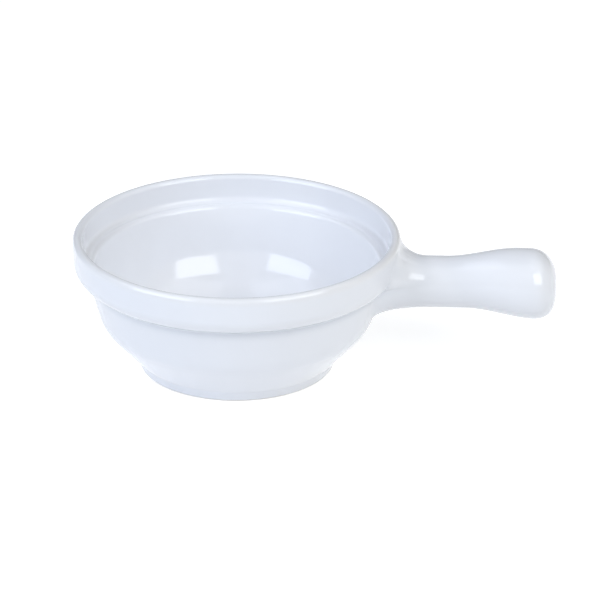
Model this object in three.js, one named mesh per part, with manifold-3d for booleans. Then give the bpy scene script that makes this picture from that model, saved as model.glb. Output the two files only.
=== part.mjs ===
// Soup bowl with a stick handle: a slip-cast bowl, a hollow cast handle and the slip that joins them.
// Millimetres, +Z up, the handle along +X, the origin at the middle of the bounding box's bottom face.
import * as THREE from 'three';
import { LoftGeometry } from 'three/addons/geometries/LoftGeometry.js';
import { mergeVertices } from 'three/addons/utils/BufferGeometryUtils.js';
import Module from 'manifold-3d';

// Bowl sizes: heights from the base, the band's and the ledge's depths down from the rim, the tiers' steps in
const RIM_DIAMETER = 118;
const HEIGHT = 50;
const WALL = 3.5;
const BAND_DEPTH = 12.2;
const BAND_DRAFT = 0.4;
const BAND_EDGE_ROUND = 6;
const STEP_IN = 5;
const STEP_DROP = 3;
const STEP_ROUND = 2.5;
const TIER_TAPER = 4.7;
const TIER_CORNER_HEIGHT = 18;
const TIER_CORNER_ROUND = 14;
const CHAMFER_IN = 12.6;
const FOOT_HEIGHT = 4;
const FOOT_CREASE_ROUND = 1.5;
const FOOT_TAPER = 1.5;
const FOOT_EDGE_ROUND = 1.2;
const FOOT_RING_WIDTH = 5;
const FOOT_RECESS = 1.8;
const RECESS_ROUND = 1;
const LEDGE_DEPTH = 10;
const LEDGE_ROUND = 2;
const FLOOR_THICKNESS = 4.2;
const BASIN_ROUND = 26;

// Handle sizes: the length is from the band to the tip and the drop is from the rim to the handle's axis;
// the root leaves the wall at its feet, measured out from the axis, and is the plain neck after its runs
const HANDLE_LENGTH = 56.3;
const HANDLE_DROP = 16.5;
const NECK_DIAMETER = 18.7;
const END_DIAMETER = 25.6;
const HANDLE_WALL = 3.8;
const SWELL_LENGTH = 26;
const SWELL_FROM_TIP = 10.2;
const SWELL_LEAN = 4;
const DOME_DEPTH = 10.3;
const DOME_POWER_TOP = 2.25;
const DOME_POWER_BELOW = 3.2;
const ROOT_FOOT_TOP = 17.8;
const ROOT_FOOT_SIDE = 20;
const ROOT_FOOT_BELOW = 13;
const ROOT_BELOW_RIM = 1;
const ROOT_RUN_TOP = 9.5;
const ROOT_RUN_SIDE = 16;
const ROOT_RUN_BELOW = 24;
const ROOT_FULLNESS = 0.62;
const VENT_DIAMETER = 2.4;
const VENT_FROM_BAND = 20;

// Joint sizes: the slip's own thickness and the gap that keeps touching meshes apart
const SLIP_THICKNESS = 0.9;
const CLEARANCE = 0.3;

// Facets
const BOWL_SEGMENTS = 84;
const HANDLE_SIDES = 40;
const CAVITY_SIDES = 24;
const ROOT_ROWS = 9;
const GRIP_ROWS = 11;
const DOME_ROWS = 9;
const ARC_TOLERANCE = 0.05;
const WELD_TOLERANCE = 1e-4;
const SLOPE_STEP = 0.05;

// Places worked out from the sizes
const rimRadius = RIM_DIAMETER / 2;
const lipRadius = WALL / 2;
const lipHeight = HEIGHT - lipRadius;
const bandFootRadius = rimRadius - BAND_DRAFT;
const bandFootHeight = HEIGHT - BAND_DEPTH;
const tierTopRadius = bandFootRadius - STEP_IN;
const tierCornerRadius = tierTopRadius - TIER_TAPER;
const footTopRadius = tierCornerRadius - CHAMFER_IN;
const footRadius = footTopRadius - FOOT_TAPER;
const recessRadius = footRadius - FOOT_RING_WIDTH;
const ledgeHeight = HEIGHT - LEDGE_DEPTH;
const floorHeight = FOOT_RECESS + FLOOR_THICKNESS;
const neckRadius = NECK_DIAMETER / 2;
const endRadius = END_DIAMETER / 2;
const tipReach = rimRadius + HANDLE_LENGTH;
const axisHeight = HEIGHT - HANDLE_DROP;
const saddleGap = CLEARANCE + SLIP_THICKNESS + CLEARANCE;
const rootBite = saddleGap + WALL;

const { Manifold, Mesh } = await loadManifold();

async function loadManifold() {
  const library = await Module();
  library.setup();
  return library;
}

// Outlines in the plane of the bowl's axis: x is the radius and y is the height

function arcPoints(centre, radius, start, end, clockwise) {
  const sweep = Math.abs(end - start);
  const step = 2 * Math.acos(1 - ARC_TOLERANCE / radius);
  const curve = new THREE.EllipseCurve(centre.x, centre.y, radius, radius, start, end, clockwise);
  return curve.getPoints(2 * Math.ceil(sweep / step / 2));
}

function roundedCorner(last, corner, next, round) {
  const back = last.clone().sub(corner).normalize();
  const ahead = next.clone().sub(corner).normalize();
  const half = Math.acos(back.dot(ahead)) / 2;
  const middle = back.clone().add(ahead).setLength(round / Math.sin(half));
  const centre = corner.clone().add(middle);
  const reach = round / Math.tan(half);
  const start = corner.clone().addScaledVector(back, reach).sub(centre).angle();
  const end = corner.clone().addScaledVector(ahead, reach).sub(centre).angle();
  const clockwise = back.cross(ahead) > 0;
  const turn = THREE.MathUtils.euclideanModulo(clockwise ? start - end : end - start, 2 * Math.PI);
  return arcPoints(centre, round, start, clockwise ? start - turn : start + turn, clockwise);
}

function roundedOutline(corners) {
  return corners.flatMap(({ at, round }, i) =>
    round ? roundedCorner(corners[i - 1].at, at, corners[i + 1].at, round) : [at]);
}

const point = (radius, height) => new THREE.Vector2(radius, height);

const leftOf = (from, to) => {
  const along = to.clone().sub(from).normalize();
  return point(-along.y, along.x);
};

const footEdge = point(footRadius, 0);
const footTop = point(footTopRadius, FOOT_HEIGHT);
const tierCorner = point(tierCornerRadius, TIER_CORNER_HEIGHT);
const tierTop = point(tierTopRadius, bandFootHeight - STEP_DROP);
const bandFoot = point(bandFootRadius, bandFootHeight);
const lipOuter = point(rimRadius, lipHeight);

// The underside runs out from the axis over the recess to the foot ring
const undersideCorners = [
  { at: point(0, FOOT_RECESS) },
  { at: point(recessRadius, FOOT_RECESS), round: RECESS_ROUND },
  { at: point(recessRadius, 0) },
];

const ringMiddle = point(footRadius - FOOT_RING_WIDTH / 2, 0);

// The outside climbs from the foot ring over the foot, the chamfer, the middle tier and the rim band
const outsideCorners = [
  { at: ringMiddle },
  { at: footEdge, round: FOOT_EDGE_ROUND },
  { at: footTop, round: FOOT_CREASE_ROUND },
  { at: tierCorner, round: TIER_CORNER_ROUND },
  { at: tierTop, round: STEP_ROUND },
  { at: bandFoot, round: BAND_EDGE_ROUND },
  { at: lipOuter },
];

// The radius of the middle tier's inner face at a height, a wall's thickness off its outer face
const tierSlope = (tierTop.x - tierCorner.x) / (tierTop.y - tierCorner.y);
const innerTierRadius = (height) =>
  tierTop.x + tierSlope * (height - tierTop.y) - WALL * Math.hypot(1, tierSlope);

// The inside drops from the lip to the flat stacking ledge, then down the middle tier and round to the floor
const insideCorners = [
  { at: point(rimRadius - WALL, lipHeight) },
  { at: point(rimRadius - WALL, ledgeHeight), round: LEDGE_ROUND },
  { at: point(innerTierRadius(ledgeHeight), ledgeHeight), round: LEDGE_ROUND },
  { at: point(innerTierRadius(floorHeight), floorHeight), round: BASIN_ROUND },
  { at: point(0, floorHeight) },
];

const outside = roundedOutline(outsideCorners);
const lip = arcPoints(point(rimRadius - lipRadius, lipHeight), lipRadius, 0, Math.PI, false);
const outerWall = [...outside, ...lip.slice(1, 1 + Math.floor(lip.length / 2))];

// Solids

function weld(geometry) {
  const bare = new THREE.BufferGeometry();
  bare.setAttribute('position', geometry.attributes.position);
  bare.setIndex(geometry.index);
  return mergeVertices(bare, WELD_TOLERANCE);
}

function solidOf(geometry) {
  const welded = weld(geometry);
  const corners = Array.from(welded.index.array);
  const faces = [];
  for (let i = 0; i < corners.length; i += 3) {
    const [a, b, c] = corners.slice(i, i + 3);
    if (a !== b && b !== c && c !== a) faces.push(a, b, c);
  }
  return new Manifold(new Mesh({
    numProp: 3,
    vertProperties: new Float32Array(welded.attributes.position.array),
    triVerts: new Uint32Array(faces),
  }));
}

function geometryOf(solid) {
  const mesh = solid.getMesh();
  const geometry = new THREE.BufferGeometry();
  geometry.setAttribute('position', new THREE.BufferAttribute(mesh.vertProperties, 3));
  geometry.setIndex(new THREE.BufferAttribute(mesh.triVerts, 1));
  geometry.computeVertexNormals();
  return geometry;
}

const revolved = (outline) =>
  solidOf(new THREE.LatheGeometry(outline, BOWL_SEGMENTS).rotateX(Math.PI / 2));

function bowlSolid() {
  return revolved([
    ...roundedOutline(undersideCorners),
    ...outside,
    ...lip.slice(1, -1),
    ...roundedOutline(insideCorners),
  ]);
}

// The bowl without its hollow, swollen by a margin, which cuts what is fitted to its outer wall
function bowlEnvelope(margin) {
  const swollen = outerWall.map((at, i) => {
    const last = outerWall[Math.max(i - 1, 0)];
    const next = outerWall[Math.min(i + 1, outerWall.length - 1)];
    return at.clone().addScaledVector(leftOf(last, next), -margin);
  });
  const bottom = point(0, swollen[0].y);
  const top = point(0, swollen.at(-1).y);
  return revolved([bottom, ...swollen, top]);
}

// The radius of the bowl's outer wall at a height
function wallRadius(height) {
  const inRange = THREE.MathUtils.clamp(height, 0, HEIGHT);
  const above = outerWall.findIndex((at) => at.y > 0 && at.y >= inRange);
  const [low, high] = [outerWall[above - 1], outerWall[above]];
  return THREE.MathUtils.mapLinear(inRange, low.y, high.y, low.x, high.x);
}

// A size that goes from its side value to its top or bottom value around the handle
function aroundHandle(lift, top, side, below) {
  return THREE.MathUtils.lerp(side, lift > 0 ? top : below, lift * lift);
}

// Where a line along the handle, at an angle and a spread from its axis, runs into the bowl's wall
function wallReach(angle, spread) {
  const radius = wallRadius(axisHeight + spread * Math.sin(angle));
  return Math.sqrt(radius ** 2 - (spread * Math.cos(angle)) ** 2);
}

// The spread at which the root leaves the wall, kept a little below the rim
function rootFoot(angle) {
  const lift = Math.sin(angle);
  const foot = aroundHandle(lift, ROOT_FOOT_TOP, ROOT_FOOT_SIDE, ROOT_FOOT_BELOW);
  const headroom = HANDLE_DROP - ROOT_BELOW_RIM;
  return lift * foot > headroom ? headroom / lift : foot;
}

// The reach at which the root has become the plain neck
function rootEnd(angle) {
  const run = aroundHandle(Math.sin(angle), ROOT_RUN_TOP, ROOT_RUN_SIDE, ROOT_RUN_BELOW);
  return wallReach(angle, neckRadius) + run;
}

// The root at an angle, as reach and spread: it leaves along the wall and ends along the neck
function rootCurve(angle) {
  const foot = rootFoot(angle);
  const start = point(wallReach(angle, foot), foot);
  const slope = (start.x - wallReach(angle, foot - SLOPE_STEP)) / SLOPE_STEP;
  const corner = point(start.x - slope * (foot - neckRadius), neckRadius);
  const end = point(rootEnd(angle), neckRadius);
  const leaving = start.clone().lerp(corner, ROOT_FULLNESS);
  const arriving = end.clone().lerp(corner, ROOT_FULLNESS);
  return new THREE.CubicBezierCurve(start, leaving, arriving, end);
}

// The handle's radius beyond the root: a waisted neck and a swell that leads on top
function gripRadius(angle, reach) {
  const swellEnd = tipReach - SWELL_FROM_TIP - SWELL_LEAN * Math.sin(angle);
  const swell = THREE.MathUtils.smoothstep(reach, swellEnd - SWELL_LENGTH, swellEnd);
  return THREE.MathUtils.lerp(neckRadius, endRadius, swell);
}

// The share of that radius left at a share of the dome's depth: all at its start and none at the tip
function domeShare(angle, depthShare) {
  const power = THREE.MathUtils.mapLinear(Math.sin(angle), -1, 1, DOME_POWER_BELOW, DOME_POWER_TOP);
  return Math.pow(1 - Math.pow(depthShare, power), 1 / power);
}

// One ring of the handle: placeOf gives the reach along the axis and the spread from it at each angle
function handleRing(sides, placeOf) {
  return Array.from({ length: sides }, (_, i) => {
    const angle = (i / sides) * 2 * Math.PI;
    const { x: reach, y: spread } = placeOf(angle);
    return new THREE.Vector3(reach, spread * Math.cos(angle), axisHeight + spread * Math.sin(angle));
  });
}

const steps = (count) => Array.from({ length: count }, (_, i) => i / (count - 1));

// The ring that starts a skin inside the bowl's wall
const bittenRing = (sides, inset) =>
  handleRing(sides, (angle) => point(wallReach(angle, neckRadius) - rootBite, neckRadius - inset));

const rootRings = () => steps(ROOT_ROWS).slice(0, -1).map((t) =>
  handleRing(HANDLE_SIDES, (angle) => rootCurve(angle).getPoint(t)));

// The rings from the end of the root to the tip, at a depth below the outer skin
function gripRings(sides, inset) {
  const domeStart = tipReach - DOME_DEPTH;
  const grip = steps(GRIP_ROWS).map((t) => handleRing(sides, (angle) => {
    const reach = THREE.MathUtils.lerp(rootEnd(angle), domeStart, t);
    return point(reach, gripRadius(angle, reach) - inset);
  }));
  const dome = steps(DOME_ROWS).slice(1).map((t) => handleRing(sides, (angle) => {
    const depthShare = Math.sin(t * Math.PI / 2);
    const reach = domeStart + (DOME_DEPTH - inset) * depthShare;
    return point(reach, (gripRadius(angle, reach) - inset) * domeShare(angle, depthShare));
  }));
  return [...grip, ...dome];
}

const lofted = (rings) => solidOf(new LoftGeometry(rings, { capStart: true }));

const handleSkin = () =>
  lofted([bittenRing(HANDLE_SIDES, 0), ...rootRings(), ...gripRings(HANDLE_SIDES, 0)]);

const handleCavity = () =>
  lofted([bittenRing(CAVITY_SIDES, HANDLE_WALL), ...gripRings(CAVITY_SIDES, HANDLE_WALL)]);

function ventSolid() {
  const vent = new THREE.CylinderGeometry(VENT_DIAMETER / 2, VENT_DIAMETER / 2, endRadius, CAVITY_SIDES);
  vent.rotateX(Math.PI / 2);
  vent.translate(rimRadius + VENT_FROM_BAND, 0, axisHeight - endRadius / 2);
  return solidOf(vent);
}

const handleTube = handleSkin().subtract(handleCavity());

function handleSolid() {
  return handleTube.subtract(bowlEnvelope(saddleGap)).subtract(ventSolid());
}

function slipSolid() {
  const layer = bowlEnvelope(CLEARANCE + SLIP_THICKNESS).subtract(bowlEnvelope(CLEARANCE));
  return handleTube.intersect(layer);
}

// Materials

const whiteGlaze = new THREE.MeshStandardMaterial({ color: 0xeef0f5, roughness: 0.15, metalness: 0 });
const bareSlip = new THREE.MeshStandardMaterial({ color: 0xe8e6e1, roughness: 0.8, metalness: 0 });

function piece(name, solid, material) {
  const mesh = new THREE.Mesh(geometryOf(solid), material);
  mesh.name = name;
  return mesh;
}

const soupBowl = new THREE.Group();
soupBowl.add(piece('bowl', bowlSolid(), whiteGlaze));
soupBowl.add(piece('handle', handleSolid(), whiteGlaze));
soupBowl.add(piece('handle_joint', slipSolid(), bareSlip));
soupBowl.position.x = (rimRadius - tipReach) / 2;

export default soupBowl;
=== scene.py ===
"""White glazed stoneware soup bowl with a hollow stick handle, on a white table in soft studio light.

Lengths are millimetres in the bowl's own frame: its axis is x = y = 0, the handle runs along +X and the
foot stands at z = 0. Each mesh goes into Blender in metres, moved to where the frame has the bowl.
"""
import math

import bpy
import numpy as np
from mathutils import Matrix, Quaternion, Vector


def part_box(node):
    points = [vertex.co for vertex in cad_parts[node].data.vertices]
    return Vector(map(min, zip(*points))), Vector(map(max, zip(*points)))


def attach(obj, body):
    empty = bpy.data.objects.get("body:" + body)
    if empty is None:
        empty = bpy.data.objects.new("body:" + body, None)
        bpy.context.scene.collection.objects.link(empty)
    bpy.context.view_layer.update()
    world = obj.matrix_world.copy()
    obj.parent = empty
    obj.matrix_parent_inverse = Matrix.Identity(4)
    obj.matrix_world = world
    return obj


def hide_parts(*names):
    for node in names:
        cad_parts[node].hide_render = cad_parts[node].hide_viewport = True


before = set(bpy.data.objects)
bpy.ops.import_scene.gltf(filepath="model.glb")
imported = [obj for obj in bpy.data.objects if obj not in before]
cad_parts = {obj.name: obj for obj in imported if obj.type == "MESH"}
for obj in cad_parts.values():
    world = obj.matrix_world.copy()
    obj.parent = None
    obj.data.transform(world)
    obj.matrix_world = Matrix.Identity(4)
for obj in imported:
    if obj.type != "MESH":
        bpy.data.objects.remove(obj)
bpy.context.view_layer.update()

# One millimetre in metres
MM = 0.001

# Places read from the frame
bowl_low, bowl_high = (np.array(corner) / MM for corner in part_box("bowl"))
_, handle_high = (np.array(corner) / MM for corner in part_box("handle"))
AXIS_X = (bowl_low[0] + bowl_high[0]) / 2
RIM_RADIUS = (bowl_high[0] - bowl_low[0]) / 2
HEIGHT = bowl_high[2]
TIP_REACH = handle_high[0] - AXIS_X

# Bowl sizes: heights from the base, depths of the band and the ledge from the rim, steps in of the tiers
WALL = 3.5
BAND_DEPTH = 12.2
BAND_DRAFT = 0.4
BAND_EDGE_ROUND = 6
STEP_IN = 5
STEP_DROP = 3
STEP_ROUND = 2.5
TIER_TAPER = 4.7
TIER_CORNER_HEIGHT = 18
TIER_CORNER_ROUND = 14
CHAMFER_IN = 12.6
FOOT_HEIGHT = 4
FOOT_CREASE_ROUND = 1.5
FOOT_TAPER = 1.5
FOOT_EDGE_ROUND = 1.2
FOOT_RING_WIDTH = 5
FOOT_INNER_ROUND = 0.5
FOOT_RECESS = 1.8
RECESS_ROUND = 1
LEDGE_DEPTH = 10
LEDGE_ROUND = 2
FLOOR_THICKNESS = 4.2
BASIN_ROUND = 26

# Handle sizes: each foot is how far from the handle's axis its root leaves the bowl's wall, and each run is
# how far along the handle the root goes before it is the plain neck
HANDLE_DROP = 16.5
NECK_RADIUS = 9.35
END_RADIUS = 12.8
HANDLE_WALL = 3.8
SWELL_LENGTH = 26
SWELL_FROM_TIP = 10.2
SWELL_LEAN = 4
DOME_DEPTH = 10.3
DOME_POWER_TOP = 2.25
DOME_POWER_BELOW = 3.2
ROOT_FOOT_TOP = 17.8
ROOT_FOOT_SIDE = 20
ROOT_FOOT_BELOW = 13
ROOT_BELOW_RIM = 0.3
ROOT_SHOULDER_POWER = 8
ROOT_RUN_TOP = 9.5
ROOT_RUN_SIDE = 16
ROOT_RUN_BELOW = 24
ROOT_FULLNESS = 0.3
VENT_RADIUS = 1.2
VENT_EDGE_ROUND = 0.5
VENT_FROM_RIM = 20

# Joint sizes: the layer of slip, the gaps on its two sides, and how far the root's edge sinks into the wall
SLIP_THICKNESS = 0.9
CLEARANCE = 0.3
SEAT_SINK = 0.004

# Glaze and painted shade sizes: how far the painted crease shade and the thin-glaze tint spread from a
# crease or an edge, the height below which both are gone (they fade in up to twice that height), and the
# height, the waver and the fading of the glaze's edge on the foot
SHADE_AND_THINNING_WIDTH = 1.5
SHADE_AND_THINNING_FADE_HEIGHT = 6
GLAZE_EDGE = 0.3
GLAZE_EDGE_WAVER = 0.3
GLAZE_EDGE_FADE = 0.15

# Where creases take painted shade and where the glaze thins, as the surface's bend in radians per
# millimetre, and how much each shows
CREASE_SHADE_BEND = 0.2
CREASE_SHADE_SHARE = 0.8
THINNING_BEND = -0.1
THINNED_BEND = -0.5
THINNED_SHARE = 0.3

# Patterns in the finishes: sizes and depths. Grit and grain are drawn coarser than real, so that they show
CLOUD_SIZE = 40
POLISH_SIZE = 12
WAVER_SIZE = 9
WAVE_SIZE = 7
WAVE_DEPTH = 0.01
CLAY_GRIT = 0.6
CLAY_GRIT_DEPTH = 0.06
SLIP_GRAIN = 0.5
SLIP_GRAIN_DEPTH = 0.05

# Layers of finer noise in smooth, broken and gritty patterns
SMOOTH_DETAIL = 1.0
BROKEN_DETAIL = 2.0
GRITTY_DETAIL = 3.0

# How the finishes mirror light
GLAZE_IOR = 1.65
POLISHED_ROUGHNESS = 0.07
DULLER_ROUGHNESS = 0.13
CLAY_ROUGHNESS = 0.85
SLIP_ROUGHNESS = 0.8

# Table and room: how the table glows where the lamps light it and away from there, the light that the room
# casts, and the grey of its far wall in mirrored light, with the lift of that wall's middle and the angles
# about it within which it is all grey and past which it is white
TABLE_HALF = 20000
TABLE_LIT_RADIUS = 400
TABLE_DIM_RADIUS = 1200
TABLE_LIT_GLOW = 0.55
TABLE_DIM_GLOW = 0.9
ROOM_LIGHT = 0.25
FAR_WALL_GREY = 0.3
FAR_WALL_LIFT = math.radians(40)
FAR_WALL_CORE = math.radians(42)
FAR_WALL_EDGE = math.radians(65)
SOFTBOX_DISTANCE = 900

# Camera, fitted to the outline of the photograph: its target lies to the right of the bowl's axis in the
# view, and up from the base
CAMERA_TURN = math.radians(3.31)
CAMERA_LIFT = math.radians(23.70)
CAMERA_DISTANCE = 2000
CAMERA_TARGET_RIGHT = 22.835
CAMERA_TARGET_UP = 24.257
PIXELS_PER_MM = 2.766
PHOTO_WIDTH = 600
SENSOR_WIDTH = 36

# Grids: columns around a piece and rows on each of its stretches. The vent's radius has this many cells, in
# a block of even cells that reaches this many each way
BOWL_COLUMNS = 256
ARC_ROWS = 20
ROW_STEP = 1.2
SIDE_COLUMNS = 160
DOME_ROWS = 40
GRIP_STEP = 0.7
NECK_ROWS = 10
ROOT_ROWS = 44
SEAT_ROWS = 8
CAVITY_ROWS = 12
VENT_CELLS = 4
VENT_BLOCK = 10

# Limits: the step that a slope is measured over, the angle past which an edge is sharp, and the least
# length that is divided by
SLOPE_STEP = 0.05
SHARP_ANGLE = math.radians(40)
TINY = 1e-6

# Sizes that follow from these
AXIS_HEIGHT = HEIGHT - HANDLE_DROP
LIP_RADIUS = WALL / 2
LIP_HEIGHT = HEIGHT - LIP_RADIUS
DOME_START = TIP_REACH - DOME_DEPTH
CAVITY_RADIUS = NECK_RADIUS - HANDLE_WALL
SADDLE_GAP = CLEARANCE + SLIP_THICKNESS + CLEARANCE
VENT_REACH = RIM_RADIUS + VENT_FROM_RIM
VENT_CELL = VENT_RADIUS / VENT_CELLS


# Outlines in the plane of the bowl's axis, as (radius, height)

def rounded(corners):
    """An outline through corners of (radius, height, round). A corner with a round becomes an arc that
    touches both sides, about a centre that lies round / sin(half the corner's angle) along their
    bisector."""
    places = [np.array(corner[:2], float) for corner in corners]
    stretches = []
    for i, (*_, arc_radius) in enumerate(corners):
        if not arc_radius:
            stretches.append(places[i][None])
            continue
        back = places[i - 1] - places[i]
        ahead = places[i + 1] - places[i]
        back /= np.linalg.norm(back)
        ahead /= np.linalg.norm(ahead)
        half = np.arccos(back @ ahead) / 2
        middle = (back + ahead) / np.linalg.norm(back + ahead)
        centre = places[i] + middle * arc_radius / np.sin(half)
        first = places[i] + back * arc_radius / np.tan(half) - centre
        last = places[i] + ahead * arc_radius / np.tan(half) - centre
        start = np.arctan2(first[1], first[0])
        sweep = (np.arctan2(last[1], last[0]) - start + np.pi) % (2 * np.pi) - np.pi
        angle = start + sweep * np.linspace(0, 1, ARC_ROWS)
        stretches.append(centre + arc_radius * np.column_stack([np.cos(angle), np.sin(angle)]))
    return np.vstack(stretches)


def spaced(outline):
    """The outline with points added on its straight stretches, so that none is longer than a row's step."""
    lengths = np.linalg.norm(np.diff(outline, axis=0), axis=1)
    counts = np.maximum(np.ceil(lengths / ROW_STEP).astype(int), 1)
    stretch = np.repeat(np.arange(len(counts)), counts)
    share = (np.arange(counts.sum()) - np.repeat(np.cumsum(counts) - counts, counts)) / counts[stretch]
    inner = outline[stretch] + share[:, None] * (outline[stretch + 1] - outline[stretch])
    return np.vstack([inner, outline[-1]])


band_foot = (RIM_RADIUS - BAND_DRAFT, HEIGHT - BAND_DEPTH)
tier_top = (band_foot[0] - STEP_IN, band_foot[1] - STEP_DROP)
tier_corner = (tier_top[0] - TIER_TAPER, TIER_CORNER_HEIGHT)
foot_top = (tier_corner[0] - CHAMFER_IN, FOOT_HEIGHT)
foot_edge = (foot_top[0] - FOOT_TAPER, 0)
ring_middle = (foot_edge[0] - FOOT_RING_WIDTH / 2, 0)
recess_radius = foot_edge[0] - FOOT_RING_WIDTH
ledge_height = HEIGHT - LEDGE_DEPTH
floor_height = FOOT_RECESS + FLOOR_THICKNESS
lip_outer = (RIM_RADIUS, LIP_HEIGHT)

# The underside runs out over the recess to the foot ring, and the outside climbs from there to the lip
underside = rounded([
    (0, FOOT_RECESS, 0),
    (recess_radius, FOOT_RECESS, RECESS_ROUND),
    (recess_radius, 0, FOOT_INNER_ROUND),
    (*ring_middle, 0),
])
outside = rounded([
    (*ring_middle, 0),
    (*foot_edge, FOOT_EDGE_ROUND),
    (*foot_top, FOOT_CREASE_ROUND),
    (*tier_corner, TIER_CORNER_ROUND),
    (*tier_top, STEP_ROUND),
    (*band_foot, BAND_EDGE_ROUND),
    (*lip_outer, 0),
])[1:]

# The inside drops to the flat stacking ledge, then follows the middle tier at the wall's thickness to the
# floor of the basin
tier_slope = TIER_TAPER / (tier_top[1] - tier_corner[1])
inner_ledge, basin = (
    (tier_top[0] + tier_slope * (height - tier_top[1]) - WALL * math.hypot(1, tier_slope), height)
    for height in (ledge_height, floor_height)
)
inside = rounded([
    (RIM_RADIUS - WALL, LIP_HEIGHT, 0),
    (RIM_RADIUS - WALL, ledge_height, LEDGE_ROUND),
    (*inner_ledge, LEDGE_ROUND),
    (*basin, BASIN_ROUND),
    (0, floor_height, 0),
])

# The lip is a half circle from the outside over to the inside
lip_turn = np.linspace(0, np.pi, 2 * ARC_ROWS + 1)[1:-1, None]
lip_centre = np.array([RIM_RADIUS - LIP_RADIUS, LIP_HEIGHT])
lip = lip_centre + LIP_RADIUS * np.hstack([np.cos(lip_turn), np.sin(lip_turn)])
outer_wall = spaced(np.vstack([outside, lip[:ARC_ROWS]]))


def bend(first, second):
    """How fast a curve in these two coordinates turns to its left, in radians per millimetre. Each point
    sums the turns near it, weighted by a bell curve of their distance, so that a corner spreads over the
    width of the painted crease shade and the thin-glaze tint."""
    step = np.stack([np.diff(first, axis=0), np.diff(second, axis=0)])
    run = np.cumsum(np.concatenate([np.zeros_like(first[:1]), np.hypot(*step)]), axis=0)
    turn = np.diff(np.unwrap(np.arctan2(step[1], step[0]), axis=0), axis=0)
    near = np.exp(-((run[:, None] - run[None, 1:-1]) / SHADE_AND_THINNING_WIDTH) ** 2 / 2)
    return np.sum(near * turn, axis=1) / (SHADE_AND_THINNING_WIDTH * math.sqrt(2 * math.pi))


# Painted shade in the outer wall's creases and the thin-glaze tint on its edges, both gone near the foot
wall_shade_and_thinning = -bend(*outer_wall.T) * np.clip(outer_wall[:, 1] / SHADE_AND_THINNING_FADE_HEIGHT - 1, 0, 1)


# Meshes

def cells(rows, columns):
    """Corner numbers of each cell of a grid whose columns close round on themselves."""
    number = np.arange(rows * columns).reshape(rows, columns)
    beside = np.roll(number, -1, axis=1)
    return np.stack([number[:-1], beside[:-1], beside[1:], number[1:]], axis=-1)


def capped(grid, first_pole, last_pole):
    """Vertices, cells and fans of a grid whose first and last rows are each closed by a fan from a pole."""
    rows, columns, _ = grid.shape
    vertices = np.vstack([grid.reshape(-1, 3), first_pole, last_pole])
    ring = np.arange(columns)
    beside = np.roll(ring, -1)
    end = (rows - 1) * columns
    first_fan = np.column_stack([beside, ring, np.full(columns, rows * columns)])
    last_fan = np.column_stack([ring + end, beside + end, np.full(columns, rows * columns + 1)])
    return vertices, cells(rows, columns), np.vstack([first_fan, last_fan])


def piece(name, vertices, faces, node, material, shade_and_thinning):
    """A smooth mesh in the row frame that rides on the body, stands for a node and takes a slot's finish.
    Its shade_and_thinning is how strongly the surface caves in at each vertex: a hollow takes painted
    shade, a crest thinner glaze. Vertices on no face are left out."""
    used, number = np.unique(np.concatenate([part.ravel() for part in faces]), return_inverse=True)
    ends = np.cumsum([part.size for part in faces])[:-1]
    corners = [part.reshape(old.shape).tolist() for part, old in zip(np.split(number, ends), faces)]
    places = (vertices[used] + [AXIS_X, 0, 0]) * MM
    mesh = bpy.data.meshes.new(name)
    mesh.from_pydata(places, [], [face for part in corners for face in part])
    mesh.shade_smooth()
    mesh.set_sharp_from_angle(angle=SHARP_ANGLE)
    mesh.attributes.new("shade_and_thinning", "FLOAT", "POINT").data.foreach_set("value", shade_and_thinning[used])
    mesh.materials.append(material)
    made = bpy.data.objects.new(name, mesh)
    bpy.context.scene.collection.objects.link(made)
    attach(made, "root")
    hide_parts(node)


# Bowl

def bowl_surface(outline):
    """Point (r, h) of the outline, turned by an angle about the axis, is (r cos angle, r sin angle, h)."""
    angle = np.linspace(0, 2 * np.pi, BOWL_COLUMNS, endpoint=False)
    radius, height, angle = np.broadcast_arrays(outline[1:-1, :1], outline[1:-1, 1:], angle)
    grid = np.stack([radius * np.cos(angle), radius * np.sin(angle), height], axis=-1)
    first_pole, last_pole = ([0, 0, outline[end, 1]] for end in (0, -1))
    return capped(grid, first_pole, last_pole)


def make_bowl(material):
    """The whole outline carried round the axis. Only vertices within a quarter of the wall's thickness of
    its outside take the outside's painted crease shade and thin-glaze tint."""
    outline = spaced(np.vstack([underside, outside, lip, inside]))
    vertices, quads, fans = bowl_surface(outline)
    radius = np.hypot(vertices[:, 0], vertices[:, 1])
    wall_radius = np.interp(vertices[:, 2], outer_wall[:, 1], outer_wall[:, 0])
    on_outside = radius > wall_radius - WALL / 4
    shade_and_thinning = np.interp(vertices[:, 2], outer_wall[:, 1], wall_shade_and_thinning) * on_outside
    piece("bowl_body", vertices, [quads.reshape(-1, 4), fans], "bowl", material, shade_and_thinning)


# Handle, in half planes about its axis: an angle up from +Y, a reach from the bowl's axis and a spread

def handle_point(angle, reach, spread):
    """The reach runs along +X. The spread goes out from the handle's axis, across with the angle's cosine
    and up with its sine."""
    angle, reach, spread = np.broadcast_arrays(angle, reach, spread)
    return np.stack([reach, spread * np.cos(angle), AXIS_HEIGHT + spread * np.sin(angle)], axis=-1)


def wall_reach(angle, spread):
    """Where the line at this angle and spread, along the handle, meets the bowl's outer wall: the square
    root of the wall's radius at that height squared, less the offset across squared."""
    across = spread * np.cos(angle)
    radius = np.interp(AXIS_HEIGHT + spread * np.sin(angle), outer_wall[:, 1], outer_wall[:, 0])
    return np.sqrt(radius ** 2 - across ** 2)


def around_root(angle, top, side, below):
    """A size that goes from its side value to its top or bottom value with the angle's sine squared."""
    lift = np.sin(angle)
    return side + (np.where(lift > 0, top, below) - side) * lift ** 2


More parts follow.
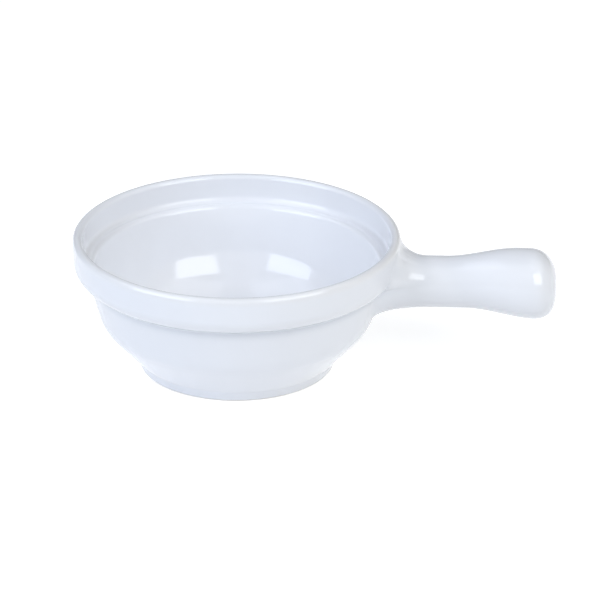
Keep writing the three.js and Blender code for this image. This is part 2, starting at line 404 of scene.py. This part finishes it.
def root_foot(angle):
    """How far from the handle's axis the root leaves the wall. It is (a^-p + b^-p)^(-1/p) of its own spread
    a and the room b up to the rim, which passes from one to the other with a round shoulder."""
    foot = around_root(angle, ROOT_FOOT_TOP, ROOT_FOOT_SIDE, ROOT_FOOT_BELOW)
    share = foot * np.maximum(np.sin(angle), 0) / (HANDLE_DROP - ROOT_BELOW_RIM)
    return foot * (1 + share ** ROOT_SHOULDER_POWER) ** (-1 / ROOT_SHOULDER_POWER)


def root_end(angle):
    """The reach at which the root has become the plain neck."""
    run = around_root(angle, ROOT_RUN_TOP, ROOT_RUN_SIDE, ROOT_RUN_BELOW)
    return wall_reach(angle, NECK_RADIUS) + run


def root_curve(angle, share):
    """Reach and spread on the root: a Bezier curve of degree 5 from the wall to the neck. Its first three
    points are on the wall's tangent and its last three on the neck's line, so that it leaves both without
    a crease."""
    foot = root_foot(angle)
    neck = np.full_like(foot, NECK_RADIUS)
    start = wall_reach(angle, foot)
    slope = (start - wall_reach(angle, foot - SLOPE_STEP)) / SLOPE_STEP
    wall_point = np.stack([start - SEAT_SINK, foot])
    corner = np.stack([start - slope * (foot - neck), neck])
    neck_point = np.stack([root_end(angle), neck])
    controls = [wall_point + i * ROOT_FULLNESS * (corner - wall_point) for i in (0, 1, 2)]
    controls += [neck_point + i * ROOT_FULLNESS * (corner - neck_point) for i in (2, 1, 0)]
    degree = len(controls) - 1
    weights = [math.comb(degree, i) * share ** i * (1 - share) ** (degree - i) for i in range(degree + 1)]
    return (sum(weight * control[axis] for weight, control in zip(weights, controls)) for axis in (0, 1))


def grip_radius(angle, reach):
    """The neck's radius plus a swell that climbs as 3 s^2 - 2 s^3 over its length and leads on top."""
    swell_end = TIP_REACH - SWELL_FROM_TIP - SWELL_LEAN * np.sin(angle)
    share = np.clip((reach - swell_end) / SWELL_LENGTH + 1, 0, 1)
    return NECK_RADIUS + (END_RADIUS - NECK_RADIUS) * share ** 2 * (3 - 2 * share)


def dome_share(angle, depth):
    """The share of the radius left at a share of the dome's depth: (1 - depth^p)^(1/p), rounder on top."""
    power = DOME_POWER_BELOW + (DOME_POWER_TOP - DOME_POWER_BELOW) * (np.sin(angle) + 1) / 2
    return (1 - depth ** power) ** (1 / power)


def handle_columns():
    """Angles of the columns from the vent's middle, with even cells across the vent's block."""
    block = VENT_CELL / NECK_RADIUS * np.arange(-VENT_BLOCK, VENT_BLOCK)
    rest = np.linspace(-block[0], 2 * np.pi + block[0], SIDE_COLUMNS, endpoint=False)
    return np.concatenate([block, rest]) - np.pi / 2


def grip_stations(start):
    """Reaches of the grip's rows from the neck to the dome, with even cells across the vent's block."""
    block = VENT_REACH + VENT_CELL * np.arange(-VENT_BLOCK, VENT_BLOCK)
    before = np.linspace(start, block[0], NECK_ROWS, endpoint=False)
    after_start = VENT_REACH + VENT_CELL * VENT_BLOCK
    after = np.linspace(after_start, DOME_START, int((DOME_START - after_start) / GRIP_STEP))
    return np.concatenate([before, block, after])[:, None]


def round_vent(angle, reach):
    """Draws the squares of cells round the vent into circles: a point's larger offset becomes its distance
    from the vent's middle, in full up to the vent's edge and fading out at the edge of the block."""
    along = reach - VENT_REACH
    turn = angle + np.pi / 2
    turn = turn - 2 * np.pi * (turn > np.pi)
    across = turn * NECK_RADIUS
    larger = np.maximum(np.abs(along), np.abs(across))
    distance = np.maximum(np.hypot(along, across), TINY)
    limit = VENT_CELL * VENT_BLOCK
    fade = np.clip((limit - larger) / (limit - VENT_RADIUS - VENT_EDGE_ROUND), 0, 1)
    drawn = 1 + fade ** 2 * (3 - 2 * fade) * (larger / distance - 1)
    factor = np.where(larger < limit, drawn, 1)
    return turn * factor - np.pi / 2, VENT_REACH + along * factor, np.minimum(larger, limit)


def grip_rows(angle, stations):
    """Rows along the grip's outside, which rounds into the vent as a quarter circle, and its hollow."""
    angle, reach, off_vent = round_vent(angle, stations)
    edge = np.clip((VENT_RADIUS + VENT_EDGE_ROUND - off_vent) / VENT_EDGE_ROUND, 0, 1)
    drop = VENT_EDGE_ROUND * (1 - np.sqrt(1 - edge ** 2))
    spread = grip_radius(angle, reach)
    return handle_point(angle, reach, spread - drop), handle_point(angle, reach, spread - HANDLE_WALL)


def dome_rows(angle, depth, wall):
    """Rows over the dome, or over the hollow's end at a wall's thickness below it: the radius less the
    wall, times the share of it that the dome leaves at each share of its depth."""
    reach = DOME_START + (DOME_DEPTH - wall) * depth
    return handle_point(angle, reach, (grip_radius(angle, reach) - wall) * dome_share(angle, depth))


def saddle_rows(angle):
    """Rows across the saddle face at its gap from the wall, then across the root's seat just off it."""
    share = np.linspace(0, 1, SEAT_ROWS, endpoint=False)[:, None]
    saddle_spread = CAVITY_RADIUS + share * (NECK_RADIUS - CAVITY_RADIUS)
    saddle = handle_point(angle, wall_reach(angle, saddle_spread) + SADDLE_GAP, saddle_spread)
    seat_spread = NECK_RADIUS + share * (root_foot(angle) - NECK_RADIUS)
    seat = handle_point(angle, wall_reach(angle, seat_spread) + SEAT_SINK, seat_spread)
    return np.concatenate([saddle, seat])


def handle_shade_and_thinning(skin):
    """How the skin caves in along the handle, for the painted crease shade and the thin-glaze tint. The
    root starts with the value of the wall that it leaves, and that fades with the square of what is left of
    the root."""
    shade_and_thinning = bend(skin[..., 0], np.hypot(skin[..., 1], skin[..., 2] - AXIS_HEIGHT))
    left = np.linspace(1, 0, ROOT_ROWS)[:, None] ** 2
    at_wall = np.interp(skin[0, :, 2], outer_wall[:, 1], wall_shade_and_thinning)
    shade_and_thinning[:ROOT_ROWS] += left * (at_wall - shade_and_thinning[:ROOT_ROWS])
    return shade_and_thinning


def vent_edge(row, way, columns):
    """Vertex numbers round the square of cells about the vent's middle row, with rows counted this way."""
    side = np.arange(-VENT_CELLS, VENT_CELLS)
    limit = np.full(2 * VENT_CELLS, VENT_CELLS)
    along = np.concatenate([-limit, side, limit, -side])
    across = np.concatenate([side, limit, -side, -limit])
    return (row + way * along) * columns + VENT_BLOCK + across


def vented(quads, inner_row, outer_row):
    """The grid's cells without those in the vent, and the bore's cells between its outer and inner edge."""
    columns = quads.shape[1]
    keep = np.ones(quads.shape[:2], bool)
    for row in (inner_row, outer_row):
        keep[row - VENT_CELLS:row + VENT_CELLS, VENT_BLOCK - VENT_CELLS:VENT_BLOCK + VENT_CELLS] = False
    outer = vent_edge(outer_row, 1, columns)
    inner = vent_edge(inner_row, -1, columns)
    bore = np.column_stack([outer, np.roll(outer, -1), np.roll(inner, -1), inner])
    return quads[keep], bore


def make_handle(material):
    """One closed shell: its lining runs from the hollow's tip back to the root and out across the saddle
    face, and its skin along the outside to the tip."""
    angle = handle_columns()
    neck_start = root_end(angle)
    grip_start = np.max(neck_start)
    stations = grip_stations(grip_start)
    grip, hollow_grip = grip_rows(angle, stations)
    depth = np.sin(np.linspace(0, np.pi / 2, DOME_ROWS)[1:-1, None])

    root = handle_point(angle, *root_curve(angle, np.linspace(0, 1, ROOT_ROWS)[:, None]))
    share = np.linspace(0, 1, NECK_ROWS, endpoint=False)[1:, None]
    neck = handle_point(angle, neck_start + share * (grip_start - neck_start), NECK_RADIUS)
    skin = np.concatenate([root, neck, grip, dome_rows(angle, depth, 0)])

    hollow_dome = dome_rows(angle, depth[::-1], HANDLE_WALL)
    hollow_mouth = wall_reach(angle, CAVITY_RADIUS) + SADDLE_GAP
    share = np.linspace(1, 0, CAVITY_ROWS, endpoint=False)[1:, None]
    hollow_neck = handle_point(angle, hollow_mouth + share * (grip_start - hollow_mouth), CAVITY_RADIUS)
    lining = np.concatenate([hollow_dome, hollow_grip[::-1], hollow_neck, saddle_rows(angle)])

    tips = [[reach, 0, AXIS_HEIGHT] for reach in (TIP_REACH - HANDLE_WALL, TIP_REACH)]
    vertices, quads, fans = capped(np.concatenate([lining, skin]), *tips)
    unshaded_unthinned = np.zeros(lining.shape[:2])
    shade_and_thinning = np.concatenate([unshaded_unthinned.ravel(), handle_shade_and_thinning(skin).ravel(), np.zeros(len(tips))])

    # The vent's middle is as many rows from the last on the outside as from the first in the hollow
    inner_row = len(hollow_dome) + len(stations) - 1 - (NECK_ROWS + VENT_BLOCK)
    outer_row = len(lining) + len(skin) - 1 - inner_row
    walls, bore = vented(quads, inner_row, outer_row)
    piece("handle_body", vertices, [walls, fans, bore], "handle", material, shade_and_thinning)


# Slip layer in the joint

def make_slip(material):
    """A saddle ring: a thin oblong section, from the hollow out along the wall and back at the slip's
    thickness, carried round the root."""
    angle = handle_columns()
    spread = np.linspace(CAVITY_RADIUS, NECK_RADIUS - CLEARANCE, SEAT_ROWS)
    spread = np.concatenate([spread, spread[::-1]])[:, None]
    lift = np.repeat([CLEARANCE, CLEARANCE + SLIP_THICKNESS], SEAT_ROWS)[:, None]
    grid = handle_point(angle, wall_reach(angle, spread) + lift, spread)
    rows, columns, _ = grid.shape
    vertices = grid.reshape(-1, 3)
    quads = cells(rows + 1, columns) % len(vertices)
    unshaded_unthinned = np.zeros(len(vertices))
    piece("joint_slip", vertices, [quads.reshape(-1, 4)], "handle_joint", material, unshaded_unthinned)


# Materials

def linear(colour):
    """An sRGB hex colour as linear RGBA. A channel c becomes c / 12.92 where it is dark, and otherwise
    ((c + 0.055) / 1.055)^2.4."""
    parts = np.array([int(colour[i:i + 2], 16) for i in (1, 3, 5)]) / 255
    return (*np.where(parts <= 0.04045, parts / 12.92, ((parts + 0.055) / 1.055) ** 2.4), 1)


def add(tree, kind, inputs=None, **settings):
    """Adds a node with its settings and gives its first live output. Each input, by name or number, is
    linked if it is given a socket, and set if it is given a value."""
    made = tree.nodes.new(kind)
    for name, value in settings.items():
        setattr(made, name, value)
    live = {socket.name: socket for socket in reversed(made.inputs) if socket.enabled}
    for key, value in (inputs or {}).items():
        socket = made.inputs[key] if isinstance(key, int) else live[key]
        if isinstance(value, bpy.types.NodeSocket):
            tree.links.new(value, socket)
        else:
            socket.default_value = value
    return next((socket for socket in made.outputs if socket.enabled), None)


def blank(name):
    """A new material and its empty node tree."""
    material = bpy.data.materials.new(name)
    material.use_nodes = True
    material.node_tree.nodes.clear()
    return material, material.node_tree


def per_metre(size):
    """A texture's scale for a feature of this size in millimetres."""
    return 1 / (size * MM)


def glazed_stoneware():
    """Cast stoneware dipped in an opaque gloss glaze: a cool, glassy white, with a foot ring wiped bare."""
    material, tree = blank("white_glazed_stoneware")
    place = add(tree, "ShaderNodeTexCoord").node.outputs["Object"]

    # The white is a little uneven, greyed by painted shade in the creases, and warmer where the glaze is
    # thin
    cloud = add(tree, "ShaderNodeTexNoise", {
        "Vector": place, "Scale": per_metre(CLOUD_SIZE), "Detail": BROKEN_DETAIL})
    shade_and_thinning = add(tree, "ShaderNodeAttribute", attribute_name="shade_and_thinning").node.outputs["Fac"]
    crease_shade = add(tree, "ShaderNodeMapRange", {
        "Value": shade_and_thinning, "From Max": CREASE_SHADE_BEND, "To Max": CREASE_SHADE_SHARE})
    thinned = add(tree, "ShaderNodeMapRange", {
        "Value": shade_and_thinning, "From Min": THINNING_BEND, "From Max": THINNED_BEND, "To Max": THINNED_SHARE})
    white = add(tree, "ShaderNodeMix", {
        "Factor": cloud, "A": linear("#f2f3f7"), "B": linear("#f6f7fa")}, data_type="RGBA")
    # Painted shade: creases darken towards this grey
    white = add(tree, "ShaderNodeMix", {
        "Factor": crease_shade, "A": white, "B": linear("#d8dce2")}, data_type="RGBA")
    white = add(tree, "ShaderNodeMix", {
        "Factor": thinned, "A": white, "B": linear("#f3eee4")}, data_type="RGBA")

    # The foot is wiped clean up to a wavering edge, and there the fired clay is sandy and matte
    height = add(tree, "ShaderNodeSeparateXYZ", {"Vector": place}).node.outputs["Z"]
    waver = add(tree, "ShaderNodeTexNoise", {
        "Vector": place, "Scale": per_metre(WAVER_SIZE), "Detail": SMOOTH_DETAIL})
    edge = add(tree, "ShaderNodeMath", {
        0: waver, 1: -GLAZE_EDGE_WAVER * MM, 2: height}, operation="MULTIPLY_ADD")
    bare = add(tree, "ShaderNodeMapRange", {
        "Value": edge, "From Min": GLAZE_EDGE * MM, "From Max": (GLAZE_EDGE - GLAZE_EDGE_FADE) * MM})
    grit = add(tree, "ShaderNodeTexNoise", {
        "Vector": place, "Scale": per_metre(CLAY_GRIT), "Detail": GRITTY_DETAIL})
    clay = add(tree, "ShaderNodeMix", {
        "Factor": grit, "A": linear("#c3b59e"), "B": linear("#e2d8c7")}, data_type="RGBA")
    colour = add(tree, "ShaderNodeMix", {"Factor": bare, "A": white, "B": clay}, data_type="RGBA")

    # Fired glass: slow waves that bend the lamps' edges a little, and patches more or less polished
    polish = add(tree, "ShaderNodeTexNoise", {
        "Vector": place, "Scale": per_metre(POLISH_SIZE), "Detail": BROKEN_DETAIL})
    gloss = add(tree, "ShaderNodeMapRange", {
        "Value": polish, "To Min": POLISHED_ROUGHNESS, "To Max": DULLER_ROUGHNESS})
    roughness = add(tree, "ShaderNodeMix", {"Factor": bare, "A": gloss, "B": CLAY_ROUGHNESS})
    waves = add(tree, "ShaderNodeTexNoise", {
        "Vector": place, "Scale": per_metre(WAVE_SIZE), "Detail": SMOOTH_DETAIL})
    sand = add(tree, "ShaderNodeBump", {
        "Height": grit, "Distance": CLAY_GRIT_DEPTH * MM, "Strength": bare})
    skin = add(tree, "ShaderNodeBump", {
        "Height": waves, "Distance": WAVE_DEPTH * MM, "Strength": 1.0, "Normal": sand})
    shader = add(tree, "ShaderNodeBsdfPrincipled", {
        "Base Color": colour, "Roughness": roughness, "IOR": GLAZE_IOR, "Normal": skin})
    add(tree, "ShaderNodeOutputMaterial", {"Surface": shader})
    return material


def joining_slip():
    """Brushed-on joining slip, fired bare: matte, off-white and grainy."""
    material, tree = blank("bare_stoneware_slip")
    place = add(tree, "ShaderNodeTexCoord").node.outputs["Object"]
    grain = add(tree, "ShaderNodeTexNoise", {
        "Vector": place, "Scale": per_metre(SLIP_GRAIN), "Detail": GRITTY_DETAIL})
    colour = add(tree, "ShaderNodeMix", {
        "Factor": grain, "A": linear("#d6cebf"), "B": linear("#ebe6dc")}, data_type="RGBA")
    bump = add(tree, "ShaderNodeBump", {
        "Height": grain, "Distance": SLIP_GRAIN_DEPTH * MM, "Strength": 1.0})
    shader = add(tree, "ShaderNodeBsdfPrincipled", {
        "Base Color": colour, "Roughness": SLIP_ROUGHNESS, "Normal": bump})
    add(tree, "ShaderNodeOutputMaterial", {"Surface": shader})
    return material


def seen_rays(tree):
    """1 for a ray from the camera, from a mirroring surface or through glass, 0 for light that is cast."""
    path = add(tree, "ShaderNodeLightPath").node.outputs
    seen = add(tree, "ShaderNodeMath", {
        0: path["Is Camera Ray"], 1: path["Is Glossy Ray"]}, operation="MAXIMUM")
    return add(tree, "ShaderNodeMath", {0: seen, 1: path["Is Transmission Ray"]}, operation="MAXIMUM")


def white_table():
    """Matte white paint. Seen by the camera or in a reflection it glows up to white, more so away from the
    lamps' pool of light, and it keeps its shadows."""
    material, tree = blank("matte_white_table")
    place = add(tree, "ShaderNodeTexCoord").node.outputs["Object"]
    distance = add(tree, "ShaderNodeVectorMath", {0: place}, operation="LENGTH")
    level = add(tree, "ShaderNodeMapRange", {
        "Value": distance,
        "From Min": TABLE_LIT_RADIUS * MM,
        "From Max": TABLE_DIM_RADIUS * MM,
        "To Min": TABLE_LIT_GLOW,
        "To Max": TABLE_DIM_GLOW,
    })
    level = add(tree, "ShaderNodeMath", {0: seen_rays(tree), 1: level}, operation="MULTIPLY")
    paint = add(tree, "ShaderNodeBsdfDiffuse", {"Color": linear("#f3f3f3")})
    glow = add(tree, "ShaderNodeEmission", {"Strength": level})
    both = add(tree, "ShaderNodeAddShader", {0: paint, 1: glow})
    add(tree, "ShaderNodeOutputMaterial", {"Surface": both})
    return material


# Stage, lamps and camera

def make_table():
    """A square, level table top about the frame's origin."""
    half = TABLE_HALF * MM
    corners = [(-half, -half, 0), (half, -half, 0), (half, half, 0), (-half, half, 0)]
    mesh = bpy.data.meshes.new("table")
    mesh.from_pydata(corners, [], [(0, 1, 2, 3)])
    mesh.materials.append(white_table())
    table = bpy.data.objects.new("table", mesh)
    bpy.context.scene.collection.objects.link(table)


def heading(turn, lift):
    """The direction to a place that is turned to the right from the bowl's front at -Y, and lifted."""
    front = -math.pi / 2 + turn
    return Vector((math.cos(front) * math.cos(lift), math.sin(front) * math.cos(lift), math.sin(lift)))


def make_camera():
    """A camera with the bowl at its size in the photograph. The focal length is the pixels per millimetre x
    the distance x the sensor's width / the photograph's width."""
    right = Vector((math.cos(CAMERA_TURN), math.sin(CAMERA_TURN), 0))
    target = (Vector((AXIS_X, 0, CAMERA_TARGET_UP)) + right * CAMERA_TARGET_RIGHT) * MM
    back = heading(CAMERA_TURN, CAMERA_LIFT)
    camera = bpy.data.objects.new("camera", bpy.data.cameras.new("camera"))
    camera.data.sensor_width = SENSOR_WIDTH
    camera.data.lens = PIXELS_PER_MM * CAMERA_DISTANCE / PHOTO_WIDTH * SENSOR_WIDTH
    camera.location = target + back * CAMERA_DISTANCE * MM
    camera.rotation_mode = "QUATERNION"
    camera.rotation_quaternion = (-back).to_track_quat("-Z", "Y")
    bpy.context.scene.collection.objects.link(camera)
    bpy.context.scene.camera = camera


def make_softbox(name, turn, lift, roll, width, height, radiance, colour):
    """A lamp that faces the bowl from this turn to the right of the camera and this lift, in degrees,
    rolled about its own axis. Its power is radiance x pi x area."""
    target = Vector((AXIS_X, 0, HEIGHT / 2)) * MM
    back = heading(CAMERA_TURN + math.radians(turn), math.radians(lift))
    lamp = bpy.data.lights.new(name, "AREA")
    lamp.shape = "RECTANGLE"
    lamp.size = width * MM
    lamp.size_y = height * MM
    lamp.energy = radiance * math.pi * lamp.size * lamp.size_y
    lamp.color = linear(colour)[:3]
    box = bpy.data.objects.new(name, lamp)
    box.location = target + back * SOFTBOX_DISTANCE * MM
    box.rotation_mode = "QUATERNION"
    box.rotation_quaternion = (-back).to_track_quat("-Z", "Y") @ Quaternion((0, 0, 1), math.radians(roll))
    bpy.context.scene.collection.objects.link(box)


def light_world():
    """A soft room that lights the object faintly. Its walls are white where they are seen or mirrored, but
    for the far one, which is mirrored grey and so draws the upper edges of the rim and the handle."""
    world = bpy.data.worlds.new("soft_room")
    world.use_nodes = True
    tree = world.node_tree
    tree.nodes.clear()
    way = add(tree, "ShaderNodeTexCoord").node.outputs["Generated"]
    far_wall = heading(CAMERA_TURN + math.pi, FAR_WALL_LIFT)
    facing = add(tree, "ShaderNodeVectorMath", {0: way, 1: far_wall}, operation="DOT_PRODUCT")
    mirrored = add(tree, "ShaderNodeMapRange", {
        "Value": facing,
        "From Min": math.cos(FAR_WALL_EDGE),
        "From Max": math.cos(FAR_WALL_CORE),
        "To Min": 1.0,
        "To Max": FAR_WALL_GREY,
    }, interpolation_type="SMOOTHSTEP")
    camera_ray = add(tree, "ShaderNodeLightPath").node.outputs["Is Camera Ray"]
    level = add(tree, "ShaderNodeMix", {"Factor": seen_rays(tree), "A": ROOM_LIGHT, "B": mirrored})
    level = add(tree, "ShaderNodeMath", {0: level, 1: camera_ray}, operation="MAXIMUM")
    light = add(tree, "ShaderNodeBackground", {"Color": linear("#ffffff"), "Strength": level})
    add(tree, "ShaderNodeOutputWorld", {"Surface": light})
    bpy.context.scene.world = world


glaze = glazed_stoneware()
make_bowl(glaze)
make_handle(glaze)
make_slip(joining_slip())
make_table()
make_camera()
make_softbox(
    "left_softbox", turn=-52.5, lift=25.5, roll=11,
    width=650, height=530, radiance=3.15, colour="#e0ecff",
)
make_softbox(
    "right_softbox", turn=42.4, lift=33, roll=-14,
    width=590, height=500, radiance=3.1, colour="#f8fcff",
)
make_softbox(
    "upper_left_softbox", turn=-90, lift=60, roll=0,
    width=700, height=700, radiance=1.0, colour="#e8f0ff",
)
make_softbox(
    "upper_right_softbox", turn=90, lift=60, roll=0,
    width=700, height=700, radiance=0.75, colour="#f8fbff",
)
light_world()
bpy.context.scene.view_settings.view_transform = "Standard"
